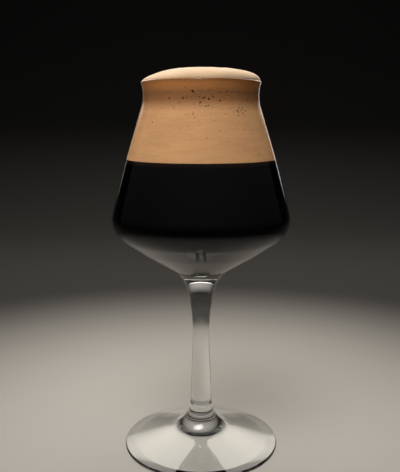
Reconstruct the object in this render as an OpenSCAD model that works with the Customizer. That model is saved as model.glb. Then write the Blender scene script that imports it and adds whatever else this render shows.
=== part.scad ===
// A stemmed beer glass filled with stout under a tall head of foam.
// Origin: centre of the foot on the table. +Z runs up the glass. Millimetres.
// Every piece is a turned shape: its section is a list of corners, each with its own rounding.

/* [Bowl] */
// Height of the rim above the table
glass_h = 207; // [190:1:250]
// Outside diameter at the rim
rim_d = 65; // [58:0.2:78]
// Outside diameter where the lip meets the cone, before rounding
neck_d = 61; // [54:0.2:72]
// How far the neck lies below the rim
neck_drop = 7.6; // [5:0.2:12]
// Rounding of the neck
neck_round = 21.4; // [8:0.2:28]
// Outside diameter where the cone meets the underside, before rounding
shoulder_d = 102.5; // [86:0.5:124]
// Height of that corner as a share of the bowl's depth
shoulder_at = 0.228; // [0.18:0.002:0.36]
// Rounding of the shoulder
shoulder_round = 13.6; // [8:0.2:24]
// How far the side of the cone swells out of a straight line
cone_swell = 0.7; // [0:0.1:1.5]
// How far the underside swells out of a straight line
under_swell = 0.75; // [0:0.05:1.5]
// Wall thickness of the bowl
wall = 1.1; // [1:0.05:2.5]
// Glass thickness under the drink, where bowl and stem join
floor_t = 2.4; // [1.5:0.1:5]

/* [Stem and foot] */
// Height of the crease where the bowl meets the stem
stem_h = 103.4; // [80:0.2:125]
// Diameter of the crease
crease_d = 29; // [22:0.2:40]
// Diameter of the stem at its narrowest
stem_d = 8.4; // [7:0.1:14]
// Diameter of the stem where it would meet the foot
stem_base_d = 13.4; // [10:0.1:20]
// Rounding of the flare between stem and foot
flare_round = 17; // [5:0.5:20]
// Diameter of the foot
foot_d = 88.6; // [70:0.2:110]
// Thickness of the foot at its edge
foot_edge = 2; // [1.4:0.1:4]
// Rise of the foot's top from its edge to the stem
foot_rise = 11; // [1:0.1:14]
// Depth of the hollow under the foot
punt = 7.5; // [0.5:0.1:8]
// Width of the flat ring that the glass stands on
rest_w = 6; // [3:0.5:12]

/* [Drink] */
// Height of the line between drink and foam, as a share of the bowl's depth
level_at = 0.602; // [0.3:0.002:0.85]
// Height of the foam above the rim
dome_h = 7.6; // [2:0.1:16]
// How far in from the rim's outer edge the dome starts
dome_in = 0.8; // [0.1:0.1:1.2]
// Clearance between the glass and what fills it
fit = 0.08; // [0.05:0.01:0.3]

/* [Hidden] */
$fn = 96;
bowl_depth = glass_h - stem_h;
rim_r = rim_d / 2;
foot_r = foot_d / 2;
level_z = stem_h + bowl_depth * level_at;

// The outside of the bowl, from the rim down to the crease: [radius, height, rounding]
neck_c = [neck_d / 2, glass_h - neck_drop];
shoulder_c = [shoulder_d / 2, stem_h + bowl_depth * shoulder_at];
crease_c = [crease_d / 2, stem_h];
cone_c = (neck_c + shoulder_c) / 2 + side(neck_c, shoulder_c) * cone_swell;
under_c = (shoulder_c + crease_c) / 2 + side(shoulder_c, crease_c) * under_swell;
bowl_out = [
    [rim_r, glass_h, 0],
    [neck_c.x, neck_c.y, neck_round],
    [cone_c.x, cone_c.y, 250],
    [shoulder_c.x, shoulder_c.y, shoulder_round],
    [under_c.x, under_c.y, 60],
    [crease_c.x, crease_c.y, 1]];

// Where the stem starts to open into the bowl, and where it is thinnest
stem_top = [crease_d / 2 - 6.4, stem_h - 7.3, 28];
stem_mid = [stem_d / 2, stem_h * 0.727, 117];

// Outward unit normal of a line that runs down the outside of the bowl
function side(a, b) = let (d = (b - a) / norm(b - a)) [-d.y, d.x];

// A corner moved in by t from both lines that meet there
function inset(a, b, c, t) =
    let (m = side(a, b), n = side(b, c)) b - (m + n) * t / (1 + m * n);

// Turns a list of corners into a path with arcs. An arc that doesn't fit its lines is made smaller.
function xy(v) = [v.x, v.y];
function turn(a, b, c) = let (u = (b - a) / norm(b - a), v = (c - b) / norm(c - b))
    atan2(u.x * v.y - u.y * v.x, u * v);
function reach(c) = [for (i = [0:len(c) - 1]) i == 0 || i == len(c) - 1 ? 0
    : c[i][2] * abs(tan(turn(xy(c[i - 1]), xy(c[i]), xy(c[i + 1])) / 2))];
function share(c, t) = [for (i = [0:len(c) - 2])
    min(1, 0.98 * norm(xy(c[i + 1]) - xy(c[i])) / max(t[i] + t[i + 1], 0.001))];
function arc(a, b, c, t) = let (
        w = turn(a, b, c), u = (b - a) / norm(b - a), s = w < 0 ? -1 : 1,
        r = t / tan(abs(w) / 2), p = b - u * t, m = p + s * r * [-u.y, u.x],
        a0 = atan2(p.y - m.y, p.x - m.x), n = max(2, ceil(abs(w) / 6)))
    [for (k = [0:n]) m + r * [cos(a0 + w * k / n), sin(a0 + w * k / n)]];
function path(c) = let (t = reach(c), s = share(c, t)) [for (i = [0:len(c) - 1])
    each t[i] < 0.01 ? [xy(c[i])]
        : arc(xy(c[i - 1]), xy(c[i]), xy(c[i + 1]), t[i] * min(s[i - 1], s[i]))];

// The inside of the bowl, from the rim down to the floor, g clear of the glass
function bowl_in(g) = let (
        t = wall + g, o = [for (c = bowl_out) xy(c)],
        floor_z = stem_h - 2.8 + floor_t + g, low = inset(o[3], o[4], o[5], t + 0.4),
        floor_r = 9)
    [[o[0].x - t, glass_h, 0],
     concat(inset(o[0], o[1], o[2], t), neck_round + t),
     concat(inset(o[1], o[2], o[3], t), 250 - t),
     concat(inset(o[2], o[3], o[4], t), shoulder_round - t),
     [low.x, low.y, 58],
     [floor_r, floor_z, 14],
     [0, floor_z, 0]];

// A path that runs down, cut at height z: the part above or the part below
function at_z(a, b, z) = a + (b - a) * (a.y - z) / (a.y - b.y);
function above(p, z) = [for (i = [0:len(p) - 1]) each p[i].y > z ? [p[i]]
    : i > 0 && p[i - 1].y > z ? [at_z(p[i - 1], p[i], z)] : []];
function below(p, z) = [for (i = [0:len(p) - 1]) each p[i].y > z ? []
    : i > 0 && p[i - 1].y > z ? [at_z(p[i - 1], p[i], z), p[i]] : [p[i]]];

// Bowl, drawn stem and foot, blown as one piece
module glass() {
    outside = concat(
        [[0, punt, 0],
         [foot_r * 0.27, punt, 20],
         [foot_r - 1 - rest_w, 0, 1.5],
         [foot_r, 0, 0.9],
         [foot_r, foot_edge, 0.9],
         [stem_base_d / 2, foot_edge + foot_rise, flare_round],
         stem_mid, stem_top],
        [for (i = [5:-1:1]) bowl_out[i]],
        [[rim_r, glass_h, 0.6]]);
    inside = [for (c = bowl_in(0)) c];
    corners = concat(outside, [[inside[0].x, glass_h, 0.6]],
        [for (i = [1:len(inside) - 1]) inside[i]]);
    color([0.82, 0.86, 0.86, 0.35]) rotate_extrude() polygon(path(corners));
}

// The drink, from the floor of the bowl up to the foam
module stout() {
    color([0.05, 0.04, 0.04])
        rotate_extrude() polygon(concat([[0, level_z]], below(path(bowl_in(fit)), level_z)));
}

// The foam: it fills the neck, spreads over the lip and stands above it as a dome
module foam_head() {
    spread = rim_r - dome_in;
    base_z = glass_h + fit;
    rise = dome_h - fit;
    wall_side = above(path(bowl_in(fit)), level_z);
    dome = [for (a = [90:-5:0]) [spread * cos(a), base_z + rise * sin(a)]];
    color([0.83, 0.68, 0.5])
        rotate_extrude() polygon(concat([[0, level_z]],
            [for (i = [len(wall_side) - 1:-1:1]) wall_side[i]],
            [[wall_side[0].x, base_z]], [for (i = [len(dome) - 1:-1:0]) dome[i]]));
}

glass();
stout();
foam_head();
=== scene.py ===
"""A pint of stout in a stemmed glass: clear glass, near-black beer, a tan head with open bubbles."""
import math
import random

import bmesh
import bpy
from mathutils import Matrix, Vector, noise


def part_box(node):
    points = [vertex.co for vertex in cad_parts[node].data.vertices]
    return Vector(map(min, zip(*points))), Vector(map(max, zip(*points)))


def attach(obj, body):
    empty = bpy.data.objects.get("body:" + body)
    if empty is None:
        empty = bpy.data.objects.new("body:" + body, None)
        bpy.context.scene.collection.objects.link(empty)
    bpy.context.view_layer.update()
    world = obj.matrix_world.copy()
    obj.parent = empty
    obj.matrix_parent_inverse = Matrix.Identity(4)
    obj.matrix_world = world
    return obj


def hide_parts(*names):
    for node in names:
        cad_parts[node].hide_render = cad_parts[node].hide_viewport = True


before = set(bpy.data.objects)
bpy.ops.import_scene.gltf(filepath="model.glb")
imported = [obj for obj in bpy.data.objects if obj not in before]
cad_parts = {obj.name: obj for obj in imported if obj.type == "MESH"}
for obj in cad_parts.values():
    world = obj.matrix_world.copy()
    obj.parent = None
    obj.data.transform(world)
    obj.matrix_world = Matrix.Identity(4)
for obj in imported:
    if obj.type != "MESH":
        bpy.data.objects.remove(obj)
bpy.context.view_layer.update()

bl_info = {
    "name": "Pint of Stout",
    "version": (1, 0, 0),
    "blender": (4, 5, 0),
    "location": "3D View > Sidebar > Stout",
    "description": "Turns a stemmed beer glass, fills it with stout and tops it with foam",
    "category": "Add Mesh",
}

RIM_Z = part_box("glass")[1].z
LEVEL_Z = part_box("stout")[1].z
DOME_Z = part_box("foam_head")[1].z

# The bowl: rounding and swell of the cone and of the underside, then the rim's edges
CONE_ROUND, CONE_SWELL = 0.25, 0.0007
UNDER_ROUND, UNDER_SWELL = 0.06, 0.00075
LIP_ROUND = 0.0006
# The bowl's floor: how far it lies below the crease, its flat, its curve, the curve beside it
FLOOR_DROP, FLOOR_R, FLOOR_ROUND, FLOOR_SIDE = 0.0004, 0.009, 0.014, 0.058
# The stem's waist: its height as a share of the stem, and its long curve
WAIST_AT, WAIST_ROUND = 0.727, 0.117
# Corners at the crease, from its radius and height: the stem's top, the fine step, the bowl
CREASE = ((-0.0064, -0.0073, 0.028), (-0.0013, -0.0010, 0.0004), (-0.0003, -0.0006, 0.0005),
          (0.0, 0.0003, 0.0004))
CREASE_BOWL = (0.0009, 0.00058)
# The foot: rounding of its edge, how far in from it the rest lies, the rest's rounding
FOOT_ROUND, REST_IN, REST_ROUND = 0.0009, 0.001, 0.0015
# The hollow under the foot: its flat as a share of the foot's radius, and its curve
PUNT_FLAT, PUNT_ROUND = 0.27, 0.02
# Faces round the drink and the foam, and the longest stretch between two rings of each piece
DRINK_STEPS, FOAM_STEPS = 128, 220
GLASS_GRAIN, DRINK_GRAIN, FOAM_GRAIN = 0.004, 0.003, 0.0009
# Where the foam's side ends under the rim, and where its dome starts above it
SIDE_TUCK, DOME_LIFT = 0.0001, 0.00005
# Bubbles: clumps round the back, strays anywhere, and the faces that a cut foam has at least
BACK_CLUMPS, STRAYS, CUT_FACES = 11, 70, 20000
# The sweep: front, back, top and half width, its curve, and how far it lies under the foot
SWEEP_FRONT, SWEEP_BACK, SWEEP_TOP, SWEEP_SIDE = -1.2, 1.0, 1.5, 1.6
SWEEP_ROUND, SWEEP_SINK = 0.35, 0.0001
# The floor's painted pool of light: where its colour starts to darken, where it ends, and what share
# is left there
PAINTED_POOL_IN, PAINTED_POOL_OUT, PAINTED_POOL_DIM = 0.07, 0.38, 0.05
# How far the camera stands to the side of the glass's axis
CAMERA_X = -0.0006


# ---------------------------------------------------------------- sizes and colours

class GlassProps(bpy.types.PropertyGroup):
    """The glass: its outline in corners, and its finish."""
    rim_d: bpy.props.FloatProperty(
        name="Rim", description="Outside diameter at the rim", default=0.065, unit="LENGTH")
    neck_d: bpy.props.FloatProperty(
        name="Neck", description="Outside diameter where lip and cone meet", default=0.061,
        unit="LENGTH")
    neck_drop: bpy.props.FloatProperty(
        name="Neck drop", description="How far the neck lies below the rim", default=0.0076,
        unit="LENGTH")
    neck_round: bpy.props.FloatProperty(
        name="Neck rounding", description="Rounding of the neck", default=0.0214, unit="LENGTH")
    shoulder_d: bpy.props.FloatProperty(
        name="Shoulder", description="Outside diameter where cone and underside meet",
        default=0.1025, unit="LENGTH")
    shoulder_at: bpy.props.FloatProperty(
        name="Shoulder height", description="Share of the bowl's depth", default=0.228)
    shoulder_round: bpy.props.FloatProperty(
        name="Shoulder rounding", description="Rounding of the shoulder", default=0.0136,
        unit="LENGTH")
    stem_h: bpy.props.FloatProperty(
        name="Stem", description="Height of the crease under the bowl", default=0.1034,
        unit="LENGTH")
    crease_d: bpy.props.FloatProperty(
        name="Crease", description="Diameter where bowl and stem join", default=0.029,
        unit="LENGTH")
    stem_d: bpy.props.FloatProperty(
        name="Stem waist", description="Diameter of the stem", default=0.0084, unit="LENGTH")
    stem_base_d: bpy.props.FloatProperty(
        name="Stem base", description="Diameter where the stem would meet the foot",
        default=0.0134, unit="LENGTH")
    flare: bpy.props.FloatProperty(
        name="Flare", description="Rounding between stem and foot", default=0.017,
        unit="LENGTH")
    foot_d: bpy.props.FloatProperty(
        name="Foot", description="Diameter of the foot", default=0.0886, unit="LENGTH")
    foot_rise: bpy.props.FloatProperty(
        name="Foot rise", description="Rise of the foot's top from its edge to the stem",
        default=0.011, unit="LENGTH")
    foot_edge: bpy.props.FloatProperty(
        name="Foot edge", description="Thickness of the foot at its edge", default=0.002,
        unit="LENGTH")
    rest_w: bpy.props.FloatProperty(
        name="Rest", description="Width of the flat ring under the foot", default=0.006,
        unit="LENGTH")
    punt: bpy.props.FloatProperty(
        name="Punt", description="Depth of the hollow under the foot", default=0.0075,
        unit="LENGTH")
    wall: bpy.props.FloatProperty(
        name="Wall", description="Thickness of the bowl", default=0.0011, unit="LENGTH")
    tint: bpy.props.FloatVectorProperty(
        name="Tint", description="Colour of the glass", subtype="COLOR", size=3,
        default=(0.985, 0.99, 0.985), min=0, max=1)
    wave: bpy.props.FloatProperty(
        name="Wave", description="Depth of the slight waves in blown glass", default=0.00006,
        unit="LENGTH")
    steps: bpy.props.IntProperty(
        name="Steps", description="Faces around the glass", default=176, min=32, max=256)


class StoutProps(bpy.types.PropertyGroup):
    """The drink."""
    colour: bpy.props.FloatVectorProperty(
        name="Colour", description="Colour of the beer in depth", subtype="COLOR", size=3,
        default=(0.0012, 0.0008, 0.0010), min=0, max=1)
    edge: bpy.props.FloatVectorProperty(
        name="Top edge", description="Warmer colour close under the foam", subtype="COLOR",
        size=3, default=(0.016, 0.0075, 0.0035), min=0, max=1)
    bite: bpy.props.FloatProperty(
        name="Bite", description="How far the drink reaches into the wall", default=0.00012,
        unit="LENGTH")


class FoamProps(bpy.types.PropertyGroup):
    """The head of foam."""
    pale: bpy.props.FloatVectorProperty(
        name="Dome", description="Dry foam on the dome", subtype="COLOR", size=3,
        default=(0.55, 0.385, 0.24), min=0, max=1)
    tan: bpy.props.FloatVectorProperty(
        name="Side", description="Wet foam against the glass", subtype="COLOR", size=3,
        default=(0.75, 0.40, 0.18), min=0, max=1)
    # Painted shade: the darker band round the neck stands for the shade under the flared lip.
    neck_shade: bpy.props.FloatVectorProperty(
        name="Neck", description="Wettest foam, round the neck", subtype="COLOR", size=3,
        default=(0.36, 0.155, 0.054), min=0, max=1)
    # Painted light: the brighter orange band stands for light that comes in through the glass lip.
    lip_light: bpy.props.FloatVectorProperty(
        name="Lip", description="Foam behind the flared lip", subtype="COLOR", size=3,
        default=(0.80, 0.33, 0.10), min=0, max=1)
    # Painted shade: the dark colour inside the open bubbles stands for the shade in these hollows.
    pit_shade: bpy.props.FloatVectorProperty(
        name="Pit", description="Wet inside of an open bubble", subtype="COLOR", size=3,
        default=(0.11, 0.042, 0.013), min=0, max=1)
    spread_in: bpy.props.FloatProperty(
        name="Lip gap", description="How far in from the rim's edge the dome starts",
        default=0.0008, unit="LENGTH")
    swell: bpy.props.FloatProperty(
        name="Uneven", description="Depth of the soft dips in the dome", default=0.0005,
        unit="LENGTH")
    lean: bpy.props.FloatProperty(
        name="Lean", description="How much fuller the dome's flank is towards +X",
        default=0.0009, unit="LENGTH")
    bubble: bpy.props.FloatProperty(
        name="Bubble", description="Radius of a middling open bubble", default=0.00042,
        unit="LENGTH")
    seed: bpy.props.IntProperty(
        name="Seed", description="Changes where the bubbles lie", default=11)


class StageProps(bpy.types.PropertyGroup):
    """Camera, floor and lamps."""
    distance: bpy.props.FloatProperty(
        name="Distance", description="Camera to the axis of the glass", default=0.3552,
        unit="LENGTH")
    height: bpy.props.FloatProperty(
        name="Height", description="Camera above the floor", default=0.1863, unit="LENGTH")
    pitch: bpy.props.FloatProperty(
        name="Pitch", description="Camera's downward tilt", default=math.radians(10.1),
        subtype="ANGLE")
    lens: bpy.props.FloatProperty(
        name="Lens", description="Focal length on a 36 mm sensor", default=49.2,
        unit="CAMERA")
    key: bpy.props.FloatProperty(
        name="Key", description="Power of the large lamp", default=3.3, unit="POWER")
    back: bpy.props.FloatProperty(
        name="Back", description="Power of the lamp behind", default=0.24, unit="POWER")
    card: bpy.props.FloatProperty(
        name="Card", description="Power of the pale card that the foot mirrors", default=10.0,
        unit="POWER")
    edge: bpy.props.FloatProperty(
        name="Edge", description="Power of the thin lamps that draw the bowl's edges",
        default=0.045, unit="POWER")
    fill: bpy.props.FloatProperty(
        name="Fill", description="Brightness of the room", default=0.075)
    floor: bpy.props.FloatVectorProperty(
        name="Floor", description="Colour of the floor", subtype="COLOR", size=3,
        default=(0.285, 0.272, 0.255), min=0, max=1)


# ---------------------------------------------------------------- turned shapes

def rounded(corners, step=math.radians(5)):
    """A path through corners (radius, height, rounding). An arc too big for its lines shrinks."""
    p = [Vector(c[:2]) for c in corners]
    u = [(b - a).normalized() for a, b in zip(p, p[1:])]
    size = [(b - a).length for a, b in zip(p, p[1:])]
    bend = [0.0] + [math.atan2(a.x * b.y - a.y * b.x, a.dot(b)) for a, b in zip(u, u[1:])] + [0.0]
    reach = [c[2] * abs(math.tan(w / 2)) for c, w in zip(corners, bend)]
    fit = [min(1.0, 0.98 * s / max(a + b, 1e-7)) for s, a, b in zip(size, reach, reach[1:])]
    path = [p[0]]
    for i in range(1, len(p) - 1):
        t = reach[i] * min(fit[i - 1], fit[i])
        if t < 1e-6:
            path.append(p[i])
            continue
        way = 1 if bend[i] > 0 else -1
        r = t / math.tan(abs(bend[i]) / 2)
        start = p[i] - u[i - 1] * t
        mid = start + Vector((-u[i - 1].y, u[i - 1].x)) * way * r
        a0 = math.atan2(start.y - mid.y, start.x - mid.x)
        n = max(2, math.ceil(abs(bend[i]) / step))
        path += [mid + r * Vector((math.cos(a0 + bend[i] * k / n), math.sin(a0 + bend[i] * k / n)))
                 for k in range(n + 1)]
    return path + [p[-1]]


def refined(path, longest):
    """The same path with its long stretches divided."""
    out = [path[0]]
    for a, b in zip(path, path[1:]):
        n = max(1, math.ceil((b - a).length / longest))
        out += [a.lerp(b, k / n) for k in range(1, n + 1)]
    return out


def side(a, b):
    """Outward unit normal of a line that runs down the outside of the bowl."""
    d = (b - a).normalized()
    return Vector((-d.y, d.x))


def inset(a, b, c, t):
    """Corner b moved in by t from both of its lines."""
    m, n = side(a, b), side(b, c)
    return b - (m + n) * t / (1 + m.dot(n))


def bowl_corners(g):
    """The outside of the bowl, from the rim down to the crease."""
    depth = RIM_Z - g.stem_h
    neck = Vector((g.neck_d / 2, RIM_Z - g.neck_drop))
    shoulder = Vector((g.shoulder_d / 2, g.stem_h + depth * g.shoulder_at))
    crease = Vector((g.crease_d / 2, g.stem_h))
    cone = (neck + shoulder) / 2 + side(neck, shoulder) * CONE_SWELL
    under = (shoulder + crease) / 2 + side(shoulder, crease) * UNDER_SWELL
    return [Vector((g.rim_d / 2, RIM_Z)), neck, cone, shoulder, under, crease]


def bowl_inside(g, deeper=0.0):
    """The inside of the bowl, from the rim down to the floor; deeper reaches into the wall."""
    o = bowl_corners(g)
    t = g.wall - deeper
    low = inset(o[3], o[4], o[5], t + FLOOR_DROP)
    floor = g.stem_h - FLOOR_DROP - deeper
    return [(o[0].x - t, RIM_Z, 0),
            (*inset(o[0], o[1], o[2], t), g.neck_round + t),
            (*inset(o[1], o[2], o[3], t), CONE_ROUND - t),
            (*inset(o[2], o[3], o[4], t), g.shoulder_round - t),
            (*low, FLOOR_SIDE), (FLOOR_R, floor, FLOOR_ROUND), (0, floor, 0)]


def glass_corners(g):
    """The whole section of the glass, from the hollow under the foot round to the bowl's floor."""
    o = bowl_corners(g)
    foot = g.foot_d / 2
    join = g.crease_d / 2
    base = [(0, g.punt, 0), (foot * PUNT_FLAT, g.punt, PUNT_ROUND),
            (foot - REST_IN - g.rest_w, 0, REST_ROUND),
            (foot, 0, FOOT_ROUND), (foot, g.foot_edge, FOOT_ROUND)]
    stem = [(g.stem_base_d / 2, g.foot_edge + g.foot_rise, g.flare),
            (g.stem_d / 2, g.stem_h * WAIST_AT, WAIST_ROUND),
            *((join + r, g.stem_h + z, bend) for r, z, bend in CREASE)]
    o[5] = Vector((join + CREASE_BOWL[0], g.stem_h + CREASE_BOWL[1]))
    rounding = [0, g.neck_round, CONE_ROUND, g.shoulder_round, UNDER_ROUND, LIP_ROUND]
    bowl = [(*o[i], rounding[i]) for i in (5, 4, 3, 2, 1)]
    inside = bowl_inside(g)
    rim = [(g.rim_d / 2, RIM_Z, LIP_ROUND), (inside[0][0], RIM_Z, LIP_ROUND)]
    return base + stem + bowl + rim + inside[1:]


def turn(name, path, steps, move=None):
    """Turns a section about +Z into a closed mesh. move shifts each point and returns it."""
    verts, rings = [], []
    for p in path:
        if p.x < 1e-7:
            rings.append([len(verts)])
            verts.append(Vector((0, 0, p.y)))
            continue
        rings.append(list(range(len(verts), len(verts) + steps)))
        verts += [Vector((p.x * math.cos(a), p.x * math.sin(a), p.y))
                  for a in (2 * math.pi * k / steps for k in range(steps))]
    if move:
        verts = [move(v) for v in verts]
    faces = []
    for a, b in zip(rings, rings[1:]):
        for k in range(steps):
            j = (k + 1) % steps
            if len(a) == 1:
                faces.append((a[0], b[j], b[k]))
            elif len(b) == 1:
                faces.append((a[k], a[j], b[0]))
            else:
                faces.append((a[k], a[j], b[j], b[k]))
    mesh = bpy.data.meshes.new(name)
    mesh.from_pydata(verts, [], faces)
    mesh.validate()
    mesh.polygons.foreach_set("use_smooth", [True] * len(mesh.polygons))
    obj = bpy.data.objects.new(name, mesh)
    bpy.context.scene.collection.objects.link(obj)
    return obj


def face_out(obj):
    """Turns the faces outward."""
    bm = bmesh.new()
    bm.from_mesh(obj.data)
    bmesh.ops.recalc_face_normals(bm, faces=bm.faces)
    if bm.calc_volume(signed=True) < 0:
        bmesh.ops.reverse_faces(bm, faces=bm.faces)
    bm.to_mesh(obj.data)
    bm.free()


# ---------------------------------------------------------------- materials

def material(name):
    """A new node material: its tree, its Principled shader and its output."""
    mat = bpy.data.materials.new(name)
    mat.use_nodes = True
    tree = mat.node_tree
    shader = next(n for n in tree.nodes if n.type == "BSDF_PRINCIPLED")
    out = next(n for n in tree.nodes if n.type == "OUTPUT_MATERIAL")
    return mat, tree, shader, out


def node(tree, kind, at=(0, 0), **values):
    """Adds a node and sets its properties and the defaults of its inputs."""
    n = tree.nodes.new(kind)
    n.location = at
    for key, value in values.items():
        if hasattr(n, key):
            setattr(n, key, value)
        else:
            n.inputs[key.replace("_", " ")].default_value = value
    return n


def ramp(tree, low, high, at=(0, 0)):
    """A colour ramp between two stops of (position, colour)."""
    n = tree.nodes.new("ShaderNodeValToRGB")
    n.location = at
    for stop, (where, colour) in zip(n.color_ramp.elements, (low, high)):
        stop.position = where
        stop.color = (*colour, 1)
    return n


def grey(v):
    return (v, v, v)


def smear_group():
    """Shader group: soft patches of fingerprints, wiping marks and haze, as a mask."""
    tree = bpy.data.node_groups.new("Handling Marks", "ShaderNodeTree")
    face = tree.interface
    face.new_socket("Vector", in_out="INPUT", socket_type="NodeSocketVector")
    for label, value in (("Size", 60.0), ("Stretch", 0.25)):
        face.new_socket(label, in_out="INPUT", socket_type="NodeSocketFloat").default_value = value
    face.new_socket("Mask", in_out="OUTPUT", socket_type="NodeSocketFloat")
    face.new_socket("Height", in_out="OUTPUT", socket_type="NodeSocketFloat")
    start = node(tree, "NodeGroupInput", (-800, 0))
    end = node(tree, "NodeGroupOutput", (600, 0))
    squash = node(tree, "ShaderNodeCombineXYZ", (-600, -160), X=1.0, Y=1.0)
    tree.links.new(start.outputs["Stretch"], squash.inputs["Z"])
    scaled = node(tree, "ShaderNodeVectorMath", (-420, 0), operation="MULTIPLY")
    tree.links.new(start.outputs["Vector"], scaled.inputs[0])
    tree.links.new(squash.outputs[0], scaled.inputs[1])
    broad = node(tree, "ShaderNodeTexNoise", (-220, 120), Detail=3.0, Roughness=0.55,
                 Distortion=0.6)
    fine = node(tree, "ShaderNodeTexNoise", (-220, -160), Detail=5.0, Roughness=0.65)
    finer = node(tree, "ShaderNodeMath", (-420, -220), operation="MULTIPLY")
    finer.inputs[1].default_value = 7.0
    tree.links.new(start.outputs["Size"], finer.inputs[0])
    for n in (broad, fine):
        tree.links.new(scaled.outputs[0], n.inputs["Vector"])
    tree.links.new(start.outputs["Size"], broad.inputs["Scale"])
    tree.links.new(finer.outputs[0], fine.inputs["Scale"])
    patch = node(tree, "ShaderNodeMapRange", (0, 120))
    patch.inputs["From Min"].default_value = 0.48
    patch.inputs["From Max"].default_value = 0.72
    tree.links.new(broad.outputs["Fac"], patch.inputs["Value"])
    both = node(tree, "ShaderNodeMath", (220, 60), operation="MULTIPLY")
    tree.links.new(patch.outputs["Result"], both.inputs[0])
    tree.links.new(fine.outputs["Fac"], both.inputs[1])
    tree.links.new(both.outputs[0], end.inputs["Mask"])
    tree.links.new(broad.outputs["Fac"], end.inputs["Height"])
    return tree


def marks(tree, size, stretch, at):
    """Places the shared group, made on first use, and feeds it Object coordinates."""
    group = bpy.data.node_groups.get("Handling Marks") or smear_group()
    coords = node(tree, "ShaderNodeTexCoord", (at[0] - 200, at[1]))
    n = node(tree, "ShaderNodeGroup", at, node_tree=group)
    n.inputs["Size"].default_value = size
    n.inputs["Stretch"].default_value = stretch
    tree.links.new(coords.outputs["Object"], n.inputs["Vector"])
    return n


def glass_material(g):
    """Clear glass with faint waves and handling marks. Lamps and soft light pass through it."""
    mat, tree, shader, out = material("clear_glass")
    shader.inputs["Transmission Weight"].default_value = 1.0
    shader.inputs["Metallic"].default_value = 0.0
    shader.inputs["IOR"].default_value = 1.5
    m = marks(tree, 55.0, 0.5, (-700, 0))
    tint = ramp(tree, (0.0, tuple(g.tint)), (1.0, tuple(c * 0.97 for c in g.tint)), (-450, 200))
    rough = node(tree, "ShaderNodeMapRange", (-450, -40))
    rough.inputs["To Min"].default_value = 0.0
    rough.inputs["To Max"].default_value = 0.035
    bump = node(tree, "ShaderNodeBump", (-250, -240), Strength=0.16, Distance=g.wave)
    link = tree.links.new
    link(m.outputs["Mask"], tint.inputs["Fac"])
    link(tint.outputs["Color"], shader.inputs["Base Color"])
    link(m.outputs["Mask"], rough.inputs["Value"])
    link(rough.outputs["Result"], shader.inputs["Roughness"])
    link(m.outputs["Height"], bump.inputs["Height"])
    link(bump.outputs["Normal"], shader.inputs["Normal"])
    clear = node(tree, "ShaderNodeBsdfTransparent", (100, -300))
    clear.inputs["Color"].default_value = (0.93, 0.94, 0.935, 1)
    path = node(tree, "ShaderNodeLightPath", (100, 400))
    shadow = node(tree, "ShaderNodeMixShader", (350, 0))
    soft = node(tree, "ShaderNodeMixShader", (550, 0))
    link(path.outputs["Is Shadow Ray"], shadow.inputs[0])
    link(shader.outputs[0], shadow.inputs[1])
    link(clear.outputs[0], shadow.inputs[2])
    link(path.outputs["Is Diffuse Ray"], soft.inputs[0])
    link(shadow.outputs[0], soft.inputs[1])
    link(clear.outputs[0], soft.inputs[2])
    link(soft.outputs[0], out.inputs["Surface"])
    return mat


def stout_material(s):
    """Near-black beer. Against glass it hardly mirrors; it warms a little under the foam."""
    mat, tree, shader, out = material("stout_beer")
    shader.inputs["IOR"].default_value = 1.12
    link = tree.links.new
    coords = node(tree, "ShaderNodeTexCoord", (-1000, 0))
    split = node(tree, "ShaderNodeSeparateXYZ", (-820, 0))
    link(coords.outputs["Object"], split.inputs[0])
    high = node(tree, "ShaderNodeMapRange", (-640, 0))
    high.inputs["From Min"].default_value = LEVEL_Z - 0.0025
    high.inputs["From Max"].default_value = LEVEL_Z
    link(split.outputs["Z"], high.inputs["Value"])
    m = marks(tree, 30.0, 1.0, (-640, -260))
    blend = node(tree, "ShaderNodeMath", (-450, 0), operation="MULTIPLY")
    link(high.outputs["Result"], blend.inputs[0])
    link(m.outputs["Height"], blend.inputs[1])
    colour = ramp(tree, (0.0, tuple(s.colour)), (1.0, tuple(s.edge)), (-260, 0))
    link(blend.outputs[0], colour.inputs["Fac"])
    link(colour.outputs["Color"], shader.inputs["Base Color"])
    rough = node(tree, "ShaderNodeMapRange", (-260, -260))
    rough.inputs["To Min"].default_value = 0.05
    rough.inputs["To Max"].default_value = 0.14
    link(m.outputs["Mask"], rough.inputs["Value"])
    link(rough.outputs["Result"], shader.inputs["Roughness"])
    return mat


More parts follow.
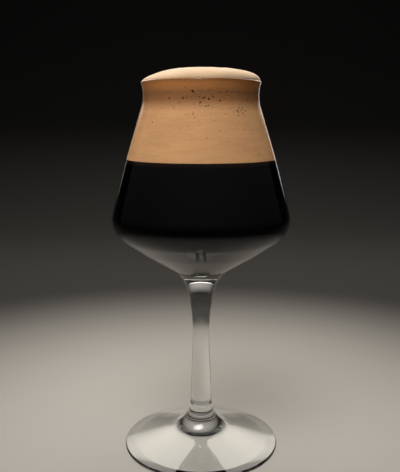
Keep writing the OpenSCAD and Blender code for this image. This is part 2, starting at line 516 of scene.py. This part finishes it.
def foam_material(f):
    """Tan foam, fine bubbles, wetter streaks; painted shade in pits and at the neck, painted light
    at the lip.
    """
    mat, tree, shader, out = material("tan_foam")
    shader.inputs["Roughness"].default_value = 0.75
    shader.inputs["IOR"].default_value = 1.33
    shader.inputs["Subsurface Weight"].default_value = 0.25
    shader.inputs["Subsurface Radius"].default_value = (0.9, 0.55, 0.3)
    shader.inputs["Subsurface Scale"].default_value = 0.0012
    link = tree.links.new
    coords = node(tree, "ShaderNodeTexCoord", (-1500, 0))
    cells = node(tree, "ShaderNodeTexVoronoi", (-1200, 200), Scale=2100.0, Randomness=1.0)
    big = node(tree, "ShaderNodeTexVoronoi", (-1200, -80), Scale=750.0, Randomness=1.0)
    link(coords.outputs["Object"], cells.inputs["Vector"])
    link(coords.outputs["Object"], big.inputs["Vector"])
    flat = node(tree, "ShaderNodeVectorMath", (-1320, -360), operation="MULTIPLY")
    flat.inputs[1].default_value = (1.0, 1.0, 7.0)
    link(coords.outputs["Object"], flat.inputs[0])
    streak = node(tree, "ShaderNodeTexNoise", (-1120, -360), Scale=52.0, Detail=5.0,
                  Roughness=0.62, Distortion=0.5)
    link(flat.outputs[0], streak.inputs["Vector"])
    cloud = node(tree, "ShaderNodeTexNoise", (-1120, -640), Scale=34.0, Detail=3.0, Roughness=0.5)
    link(coords.outputs["Object"], cloud.inputs["Vector"])
    mixed = node(tree, "ShaderNodeMath", (-900, -460), operation="MULTIPLY_ADD")
    mixed.inputs[1].default_value = 0.55
    link(streak.outputs["Fac"], mixed.inputs[0])
    half = node(tree, "ShaderNodeMath", (-1000, -760), operation="MULTIPLY")
    half.inputs[1].default_value = 0.45
    link(cloud.outputs["Fac"], half.inputs[0])
    link(half.outputs[0], mixed.inputs[2])
    split = node(tree, "ShaderNodeSeparateXYZ", (-1320, -900))
    link(coords.outputs["Object"], split.inputs[0])
    height = node(tree, "ShaderNodeMapRange", (-1120, -900))
    height.inputs["From Min"].default_value = LEVEL_Z
    height.inputs["From Max"].default_value = DOME_Z
    link(split.outputs["Z"], height.inputs["Value"])
    depth = DOME_Z - LEVEL_Z
    colour = ramp(tree, (0.0, tuple(f.tan)), (1.0, tuple(f.pale)), (-900, -900))
    # Bands up the side: tan, then painted shade round the neck, then painted light behind the lip,
    # then the pale dome.
    for drop, shade in ((0.0160, f.tan), (0.0100, f.neck_shade), (0.0065, f.neck_shade), (0.0025, f.lip_light),
                        (0.0002, f.lip_light), (-0.0006, f.pale)):
        stop = colour.color_ramp.elements.new((RIM_Z - drop - LEVEL_Z) / depth)
        stop.color = (*shade, 1)
    link(height.outputs["Result"], colour.inputs["Fac"])
    uneven = ramp(tree, (0.36, grey(0.90)), (0.64, grey(1.06)), (-700, -420))
    link(mixed.outputs[0], uneven.inputs["Fac"])
    patchy = node(tree, "ShaderNodeMix", (-560, -300), data_type="RGBA", blend_type="MULTIPLY")
    patchy.inputs["Factor"].default_value = 1.0
    link(colour.outputs["Color"], patchy.inputs["A"])
    link(uneven.outputs["Color"], patchy.inputs["B"])
    fleck = ramp(tree, (0.0, grey(0.80)), (0.35, grey(1.0)), (-900, 220))
    link(cells.outputs["Distance"], fleck.inputs["Fac"])
    speckled = node(tree, "ShaderNodeMix", (-430, 0), data_type="RGBA", blend_type="MULTIPLY")
    speckled.inputs["Factor"].default_value = 0.5
    link(patchy.outputs["Result"], speckled.inputs["A"])
    link(fleck.outputs["Color"], speckled.inputs["B"])
    # The bubble faces take the painted shade colour of the pits.
    pit_shade = node(tree, "ShaderNodeAttribute", (-640, -820), attribute_name="pit_shade")
    wet = node(tree, "ShaderNodeMix", (-220, -120), data_type="RGBA")
    wet.inputs["B"].default_value = (*f.pit_shade, 1)
    link(pit_shade.outputs["Fac"], wet.inputs["Factor"])
    link(speckled.outputs["Result"], wet.inputs["A"])
    link(wet.outputs["Result"], shader.inputs["Base Color"])
    low = node(tree, "ShaderNodeBump", (-420, -560), Strength=0.5, Distance=0.0002)
    link(big.outputs["Distance"], low.inputs["Height"])
    top = node(tree, "ShaderNodeBump", (-220, -480), Strength=0.6, Distance=0.0001)
    link(cells.outputs["Distance"], top.inputs["Height"])
    link(low.outputs["Normal"], top.inputs["Normal"])
    link(top.outputs["Normal"], shader.inputs["Normal"])
    return mat


# ---------------------------------------------------------------- open bubbles

def bubble_centres(f, outline):
    """Where bubbles lie open against the glass: loose clumps under the neck, and strays."""
    rng = random.Random(f.seed)
    # single bubbles: turn from the front in degrees, height below the rim, size
    singles = [(-8, 0.0061, 1.45), (-31, 0.0095, 1.35), (-17, 0.0095, 1.3), (3, 0.0095, 1.2),
               (7, 0.0101, 1.5), (-1, 0.0116, 1.2), (-21, 0.0118, 0.85), (11, 0.0088, 0.8),
               (17.5, 0.0108, 1.1), (21.5, 0.0103, 0.7), (4.4, 0.0135, 0.95), (6.6, 0.0134, 0.85),
               (25, 0.0059, 0.8), (-15, 0.0042, 0.7), (-32, 0.0069, 0.7), (-7, 0.0174, 0.7),
               (4, 0.0290, 0.7)]
    clumps = [(way, drop, 0, 0, 1, size) for way, drop, size in singles]
    # loose clumps: the same, with spread in degrees and in height, and number, before size
    clumps += [(-5, 0.0088, 16, 0.0024, 44, 0.42), (12, 0.0060, 26, 0.0018, 22, 0.42),
               (38, 0.0156, 6, 0.0022, 34, 0.50), (2, 0.0150, 20, 0.0040, 26, 0.40),
               (50, 0.0095, 10, 0.0030, 16, 0.42), (0, 0.0220, 40, 0.0080, 22, 0.36)]
    clumps += [(rng.uniform(75, 285), rng.uniform(0.005, 0.014), rng.uniform(6, 18),
                rng.uniform(0.001, 0.003), rng.randint(12, 30), rng.uniform(0.45, 0.9))
               for _ in range(BACK_CLUMPS)]
    points, sizes = [], []
    for way, drop, wide, tall, count, size in clumps:
        for _ in range(count):
            a = math.radians(way + rng.gauss(0, wide * 0.6)) - math.pi / 2
            z = RIM_Z - max(0.0015, drop + rng.gauss(0, tall * 0.6))
            ball = f.bubble * size * math.exp(rng.gauss(0, 0.3 if count > 1 else 0.05))
            r = radius_at(outline, z) + ball * 0.3
            points.append(Vector((r * math.cos(a), r * math.sin(a), z)))
            sizes.append(ball)
    for _ in range(STRAYS):
        a, z = rng.uniform(0, 2 * math.pi), rng.uniform(LEVEL_Z + 0.001, RIM_Z - 0.004)
        r = radius_at(outline, z)
        points.append(Vector((r * math.cos(a), r * math.sin(a), z)))
        sizes.append(f.bubble * 0.42 * math.exp(rng.gauss(0, 0.3)))
    return points, sizes


def radius_at(path, z):
    """The radius of a path that runs down, at height z."""
    for a, b in zip(path, path[1:]):
        if (a.y - z) * (b.y - z) <= 0 and abs(a.y - b.y) > 1e-9:
            return a.x + (b.x - a.x) * (a.y - z) / (a.y - b.y)
    return path[0].x


def bubble_tree():
    """Geometry Nodes: a squashed ball on each centre, all cut out of the foam."""
    tree = bpy.data.node_groups.new("Open Bubbles", "GeometryNodeTree")
    face = tree.interface
    face.new_socket("Geometry", in_out="INPUT", socket_type="NodeSocketGeometry")
    face.new_socket("Centres", in_out="INPUT", socket_type="NodeSocketObject")
    s = face.new_socket("Roundness", in_out="INPUT", socket_type="NodeSocketFloat")
    s.default_value = 0.85
    s = face.new_socket("Seed", in_out="INPUT", socket_type="NodeSocketInt")
    s.default_value = 3
    face.new_socket("Finish", in_out="INPUT", socket_type="NodeSocketMaterial")
    face.new_socket("Geometry", in_out="OUTPUT", socket_type="NodeSocketGeometry")
    start = node(tree, "NodeGroupInput", (-1000, 0))
    end = node(tree, "NodeGroupOutput", (900, 0))
    link = tree.links.new
    centres = node(tree, "GeometryNodeObjectInfo", (-800, -200))
    link(start.outputs["Centres"], centres.inputs["Object"])
    size = node(tree, "GeometryNodeInputNamedAttribute", (-800, -420), data_type="FLOAT")
    size.inputs["Name"].default_value = "size"
    ball = node(tree, "GeometryNodeMeshIcoSphere", (-600, -420), Radius=1.0, Subdivisions=2)
    squash = node(tree, "FunctionNodeRandomValue", (-800, -640), data_type="FLOAT_VECTOR")
    squash.inputs["Max"].default_value = (1.15, 1.15, 1.15)
    low = node(tree, "ShaderNodeCombineXYZ", (-1000, -640))
    for axis in "XYZ":
        link(start.outputs["Roundness"], low.inputs[axis])
    link(low.outputs[0], squash.inputs["Min"])
    link(start.outputs["Seed"], squash.inputs["Seed"])
    scale = node(tree, "ShaderNodeVectorMath", (-600, -640), operation="SCALE")
    link(squash.outputs["Value"], scale.inputs[0])
    link(size.outputs["Attribute"], scale.inputs["Scale"])
    points = node(tree, "GeometryNodeMeshToPoints", (-600, -200))
    link(centres.outputs["Geometry"], points.inputs["Mesh"])
    put = node(tree, "GeometryNodeInstanceOnPoints", (-350, -200))
    link(points.outputs["Points"], put.inputs["Points"])
    link(ball.outputs["Mesh"], put.inputs["Instance"])
    link(scale.outputs[0], put.inputs["Scale"])
    real = node(tree, "GeometryNodeRealizeInstances", (-150, -200))
    link(put.outputs["Instances"], real.inputs["Geometry"])
    mark = node(tree, "GeometryNodeStoreNamedAttribute", (50, -200), data_type="FLOAT",
                domain="FACE")
    mark.inputs["Name"].default_value = "pit_shade"
    mark.inputs["Value"].default_value = 1.0
    link(real.outputs["Geometry"], mark.inputs["Geometry"])
    cut = node(tree, "GeometryNodeMeshBoolean", (280, 0), operation="DIFFERENCE",
               solver="MANIFOLD")
    link(start.outputs["Geometry"], cut.inputs["Mesh 1"])
    link(mark.outputs["Geometry"], cut.inputs["Mesh 2"])
    whole = node(tree, "GeometryNodeRealizeInstances", (480, 0))
    link(cut.outputs["Mesh"], whole.inputs["Geometry"])
    finish = node(tree, "GeometryNodeSetMaterial", (680, 0))
    link(whole.outputs["Geometry"], finish.inputs["Geometry"])
    link(start.outputs["Finish"], finish.inputs["Material"])
    link(finish.outputs["Geometry"], end.inputs["Geometry"])
    return tree


def set_input(mod, name, value):
    """Sets a modifier's input by its socket's identifier."""
    for item in mod.node_group.interface.items_tree:
        if item.item_type == "SOCKET" and item.in_out == "INPUT" and item.name == name:
            mod[item.identifier] = value
            return
    raise KeyError(name)


def made_plain(obj):
    """Replaces obj's mesh with its evaluated one and removes its modifiers."""
    bpy.context.view_layer.update()
    seen = obj.evaluated_get(bpy.context.evaluated_depsgraph_get())
    mesh = bpy.data.meshes.new_from_object(seen)
    mesh.name = obj.name
    obj.modifiers.clear()
    old, obj.data = obj.data, mesh
    bpy.data.meshes.remove(old)


# ---------------------------------------------------------------- operators

class STOUT_OT_glass(bpy.types.Operator):
    """Turn the glass and give it its clear finish"""
    bl_idname = "stout.glass"
    bl_label = "Glass"

    def execute(self, context):
        g = context.scene.stout_glass
        obj = turn("drinking_glass", refined(rounded(glass_corners(g)), GLASS_GRAIN), g.steps)
        face_out(obj)
        obj.data.materials.append(glass_material(g))
        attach(obj, "root")
        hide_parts("glass")
        return {"FINISHED"}


class STOUT_OT_drink(bpy.types.Operator):
    """Fill the bowl with stout up to the foam"""
    bl_idname = "stout.drink"
    bl_label = "Stout"

    def execute(self, context):
        g, s = context.scene.stout_glass, context.scene.stout_drink
        path = rounded(bowl_inside(g, s.bite))
        under = [p for p in path if p.y < LEVEL_Z]
        edge = Vector((radius_at(path, LEVEL_Z), LEVEL_Z))
        obj = turn("stout_drink", [Vector((0, LEVEL_Z))] + refined([edge] + under, DRINK_GRAIN),
                   DRINK_STEPS)
        face_out(obj)
        obj.data.materials.append(stout_material(s))
        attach(obj, "root")
        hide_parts("stout")
        return {"FINISHED"}


class STOUT_OT_foam(bpy.types.Operator):
    """Top the drink with foam and open bubbles in it against the glass"""
    bl_idname = "stout.foam"
    bl_label = "Foam head"

    def execute(self, context):
        g, f = context.scene.stout_glass, context.scene.stout_foam
        path = rounded(bowl_inside(g, context.scene.stout_drink.bite))
        wall = [Vector((radius_at(path, LEVEL_Z), LEVEL_Z))]
        wall += [p for p in reversed(path) if p.y > LEVEL_Z]
        spread, base = g.rim_d / 2 - f.spread_in, RIM_Z + DOME_LIFT
        rise = DOME_Z - base
        wall[-1] = Vector((wall[-1].x, RIM_Z - SIDE_TUCK))
        dome = [Vector((spread * math.cos(a), base + rise * math.sin(a)))
                for a in (math.radians(k) for k in range(0, 91, 3))]
        dome[-1].x = 0.0
        section = [Vector((0, LEVEL_Z))] + refined(wall, FOAM_GRAIN) + refined(dome, FOAM_GRAIN)

        def uneven(v):
            """Soft dips and swells on the dome, none below the rim or above the apex."""
            up = max(0.0, v.z - base) / rise
            if up <= 0:
                return v
            soft = noise.noise(v * 70) * 0.6 + noise.noise(v * 190) * 0.25
            fine = noise.noise(v * 700) * 0.12
            lean = f.lean * v.x / spread * 4 * up * (1 - up)
            return Vector((v.x, v.y, v.z + lean - f.swell * min(1, up * 3) * (0.45 - soft - fine)))

        obj = turn("foam_top", section, FOAM_STEPS, uneven)
        face_out(obj)
        points, sizes = bubble_centres(f, rounded(bowl_inside(g)))
        cloud = bpy.data.meshes.new("bubble_centres")
        cloud.from_pydata(points, [], [])
        cloud.attributes.new("size", "FLOAT", "POINT").data.foreach_set("value", sizes)
        holder = bpy.data.objects.new("bubble_centres", cloud)
        context.scene.collection.objects.link(holder)
        finish = foam_material(f)
        obj.data.materials.append(finish)
        mod = obj.modifiers.new("Open Bubbles", "NODES")
        mod.node_group = bubble_tree()
        set_input(mod, "Centres", holder)
        set_input(mod, "Seed", f.seed)
        set_input(mod, "Finish", finish)
        made_plain(obj)
        if len(obj.data.polygons) < CUT_FACES:
            raise RuntimeError("the bubbles were not cut out of the foam")
        bpy.data.objects.remove(holder)
        obj.data.polygons.foreach_set("use_smooth", [True] * len(obj.data.polygons))
        obj.data.set_sharp_from_angle(angle=math.radians(40))
        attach(obj, "root")
        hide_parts("foam_head")
        return {"FINISHED"}


def soft_edges(data):
    """Makes a lamp's face bright in the middle and dark at its border, with the same power."""
    data.use_nodes = True
    tree = data.node_tree
    glow = next(n for n in tree.nodes if n.type == "EMISSION")
    link = tree.links.new
    face = node(tree, "ShaderNodeNewGeometry", (-1000, 0))
    split = node(tree, "ShaderNodeSeparateXYZ", (-800, 0))
    link(face.outputs["Parametric"], split.inputs[0])
    strength = None
    for axis, low in (("X", 0), ("Y", -220)):
        rest = node(tree, "ShaderNodeMath", (-600, low - 80), operation="SUBTRACT")
        rest.inputs[0].default_value = 1.0
        link(split.outputs[axis], rest.inputs[1])
        hump = node(tree, "ShaderNodeMath", (-420, low), operation="MULTIPLY")
        link(split.outputs[axis], hump.inputs[0])
        link(rest.outputs[0], hump.inputs[1])
        times = node(tree, "ShaderNodeMath", (-240, low), operation="MULTIPLY")
        times.inputs[1].default_value = 6.0
        link(hump.outputs[0], times.inputs[0])
        if strength:
            both = node(tree, "ShaderNodeMath", (-60, 0), operation="MULTIPLY")
            link(strength, both.inputs[0])
            link(times.outputs[0], both.inputs[1])
            link(both.outputs[0], glow.inputs["Strength"])
        strength = times.outputs[0]


def lamp(name, place, target, size, power, colour, spread):
    """A soft box of light that looks at target. It lights and mirrors, but isn't seen itself."""
    data = bpy.data.lights.new(name, "AREA")
    data.shape = "RECTANGLE"
    data.size, data.size_y = size
    data.energy, data.color, data.spread = power, colour, math.radians(spread)
    soft_edges(data)
    obj = bpy.data.objects.new(name, data)
    obj.location = place
    obj.rotation_euler = (Vector(target) - Vector(place)).to_track_quat("-Z", "Y").to_euler()
    obj.visible_camera = False
    bpy.context.scene.collection.objects.link(obj)
    return obj


def floor_material(colour):
    """Pale floor with a painted pool of light: its colour darkens gently far from the object."""
    mat, tree, shader, out = material("pale_floor")
    shader.inputs["Roughness"].default_value = 0.85
    shader.inputs["IOR"].default_value = 1.2
    link = tree.links.new
    coords = node(tree, "ShaderNodeTexCoord", (-900, 0))
    length = node(tree, "ShaderNodeVectorMath", (-700, 0), operation="LENGTH")
    link(coords.outputs["Object"], length.inputs[0])
    far = node(tree, "ShaderNodeMapRange", (-500, 0), interpolation_type="SMOOTHSTEP")
    far.inputs["From Min"].default_value = PAINTED_POOL_IN
    far.inputs["From Max"].default_value = PAINTED_POOL_OUT
    link(length.outputs["Value"], far.inputs["Value"])
    # Painted falloff of light: the floor's colour dims away from the object.
    dim = tuple(c * PAINTED_POOL_DIM for c in colour)
    shade = ramp(tree, (0.0, tuple(colour)), (1.0, dim), (-300, 0))
    link(far.outputs["Result"], shade.inputs["Fac"])
    link(shade.outputs["Color"], shader.inputs["Base Color"])
    return mat


def cyclorama():
    """A floor that curves up into a wall behind the object."""
    corners = [(SWEEP_FRONT, -SWEEP_SINK, 0), (SWEEP_BACK, -SWEEP_SINK, SWEEP_ROUND),
               (SWEEP_BACK, SWEEP_TOP, 0)]
    path = refined(rounded(corners, math.radians(6)), 0.1)
    verts = [(x, p.x, p.y) for p in path for x in (-SWEEP_SIDE, SWEEP_SIDE)]
    faces = [(2 * k, 2 * k + 1, 2 * k + 3, 2 * k + 2) for k in range(len(path) - 1)]
    mesh = bpy.data.meshes.new("floor_sweep")
    mesh.from_pydata(verts, [], faces)
    mesh.polygons.foreach_set("use_smooth", [True] * len(mesh.polygons))
    obj = bpy.data.objects.new("floor_sweep", mesh)
    bpy.context.scene.collection.objects.link(obj)
    return obj


def room(fill):
    """The room round the stage: dim at the horizon, paler overhead."""
    world = bpy.data.worlds.new("room")
    world.use_nodes = True
    tree = world.node_tree
    sky = tree.nodes["Background"]
    sky.inputs["Color"].default_value = (0.97, 0.98, 1.0, 1)
    coords = node(tree, "ShaderNodeTexCoord", (-800, 0))
    split = node(tree, "ShaderNodeSeparateXYZ", (-600, 0))
    tree.links.new(coords.outputs["Generated"], split.inputs["Vector"])
    rise = node(tree, "ShaderNodeMapRange", (-400, 0), interpolation_type="SMOOTHSTEP")
    rise.inputs["From Min"].default_value = 0.0
    rise.inputs["From Max"].default_value = 0.55
    rise.inputs["To Min"].default_value = fill * 0.25
    rise.inputs["To Max"].default_value = fill * 1.15
    tree.links.new(split.outputs["Z"], rise.inputs["Value"])
    tree.links.new(rise.outputs["Result"], sky.inputs["Strength"])
    return world


class STOUT_OT_stage(bpy.types.Operator):
    """Set the floor, the backdrop, the lamps and the camera"""
    bl_idname = "stout.stage"
    bl_label = "Stage"

    def execute(self, context):
        t = context.scene.stout_stage
        scene = context.scene
        sweep = cyclorama()
        sweep.data.materials.append(floor_material(t.floor))
        key = lamp("key", (-0.16, -0.42, 0.88), (0, 0, 0.12), (0.80, 0.42), t.key,
                   (1.0, 0.97, 0.935), 120)
        key.visible_transmission = False
        back = lamp("back", (0.06, 0.70, 0.42), (0, 0, 0.02), (1.5, 0.66), t.back,
                    (1.0, 0.93, 0.84), 120)
        back.visible_glossy = False
        card = lamp("card", (0.0, 0.55, 0.60), (0, 0, 0.02), (1.4, 0.90), t.card,
                    (1.0, 0.945, 0.85), 170)
        card.visible_transmission = False
        for way, share in ((-1, 0.25), (1, 1.0)):
            edge = lamp("edge", (way * 0.42, 0.90, 0.22), (0, 0, 0.13), (0.09, 0.44),
                        t.edge * share, (0.97, 0.985, 1.0), 120)
            edge.visible_transmission = False
        scene.world = room(t.fill)
        data = bpy.data.cameras.new("camera")
        data.sensor_width = 36
        data.lens = t.lens
        data.clip_start = 0.01
        cam = bpy.data.objects.new("camera", data)
        cam.location = (CAMERA_X, -t.distance, t.height)
        cam.rotation_euler = (math.pi / 2 - t.pitch, 0, 0)
        scene.collection.objects.link(cam)
        scene.camera = cam
        scene.view_settings.view_transform = "Standard"
        return {"FINISHED"}


class STOUT_PT_panel(bpy.types.Panel):
    """Lists the pieces and their sizes"""
    bl_idname = "STOUT_PT_panel"
    bl_label = "Pint of Stout"
    bl_space_type = "VIEW_3D"
    bl_region_type = "UI"
    bl_category = "Stout"

    def draw(self, context):
        scene = context.scene
        for group, op in ((scene.stout_glass, STOUT_OT_glass), (scene.stout_drink, STOUT_OT_drink),
                          (scene.stout_foam, STOUT_OT_foam), (scene.stout_stage, STOUT_OT_stage)):
            box = self.layout.box()
            for key in group.__annotations__:
                box.prop(group, key)
            box.operator(op.bl_idname)


GROUPS = {"stout_glass": GlassProps, "stout_drink": StoutProps, "stout_foam": FoamProps,
          "stout_stage": StageProps}
CLASSES = (*GROUPS.values(), STOUT_OT_glass, STOUT_OT_drink, STOUT_OT_foam, STOUT_OT_stage,
           STOUT_PT_panel)


def register():
    for cls in CLASSES:
        bpy.utils.register_class(cls)
    for key, cls in GROUPS.items():
        setattr(bpy.types.Scene, key, bpy.props.PointerProperty(type=cls))


def unregister():
    for key in GROUPS:
        delattr(bpy.types.Scene, key)
    for cls in reversed(CLASSES):
        bpy.utils.unregister_class(cls)


def main():
    """Builds every piece and the stage."""
    register()
    bpy.ops.stout.glass()
    bpy.ops.stout.drink()
    bpy.ops.stout.foam()
    bpy.ops.stout.stage()


if __name__ == "__main__":
    main()
